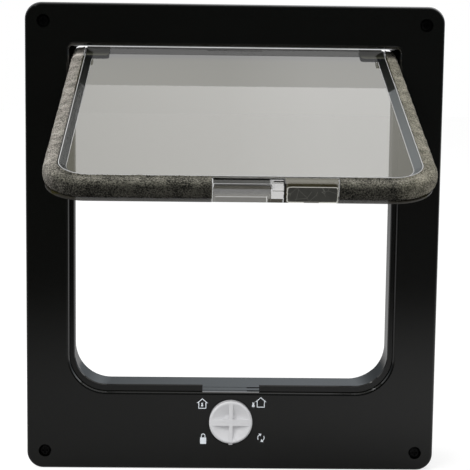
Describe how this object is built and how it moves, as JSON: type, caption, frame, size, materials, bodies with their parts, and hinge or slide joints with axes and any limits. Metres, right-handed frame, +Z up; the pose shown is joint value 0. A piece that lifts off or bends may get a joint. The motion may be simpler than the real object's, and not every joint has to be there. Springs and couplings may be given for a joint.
{
  "type": "cat flap",
  "caption": "Cat flap for a door: two black frames clamping the door, a smoked see-through flap with brush seals raised on its hinge, a magnet catch and a rotary lock.",
  "frame": {"origin": "middle of the frame, on the plane where the front frame lies against the door", "axes": "+Y into the door and through it, +Z up, +X right as seen from outside"},
  "size_m": [0.25, 0.2306, 0.2834],
  "materials": {
    "frame_plastic": "gloss",
    "flap_tint": "clear, smoked",
    "seal_pile": "woven pile",
    "pin_steel": "ground",
    "screw_zinc": "satin black",
    "magnet_nickel": "satin",
    "carrier_plastic": "matte",
    "dial_plastic": "translucent",
    "lock_plastic": "matte",
    "spring_steel": "polished"
  },
  "bodies": {
    "frame": {"front_frame": "frame_plastic", "rear_frame": "frame_plastic", "screw_top_left": "screw_zinc", "screw_top_right": "screw_zinc", "screw_bottom_left": "screw_zinc", "screw_bottom_right": "screw_zinc", "lock_cover": "lock_plastic", "cover_screws": "pin_steel", "sill_magnet": "magnet_nickel", "sill_magnet_plug": "lock_plastic", "detent_spring": "spring_steel"},
    "flap": {"flap_panel": "flap_tint", "hinge_pin_left": "pin_steel", "hinge_pin_right": "pin_steel", "pile_strip_left": "seal_pile", "pile_strip_right": "seal_pile", "magnet_carrier": "carrier_plastic", "flap_magnet": "magnet_nickel"},
    "dial": {"lock_dial": "dial_plastic", "front_lock_disc": "lock_plastic", "rear_lock_disc": "lock_plastic", "dial_retaining_ring": "spring_steel"}
  },
  "joints": [
    {"name": "flap_swing", "type": "hinge", "parent": "frame", "child": "flap", "pos_m": [0, -0.004, 0.109], "axis": [1, 0, 0], "range_deg": [-13, 157]},
    {"name": "lock_turn", "type": "hinge", "parent": "frame", "child": "dial", "pos_m": [0, -0.01, -0.1113], "axis": [0, 1, 0], "range_deg": [-122, 122]}
  ]
}
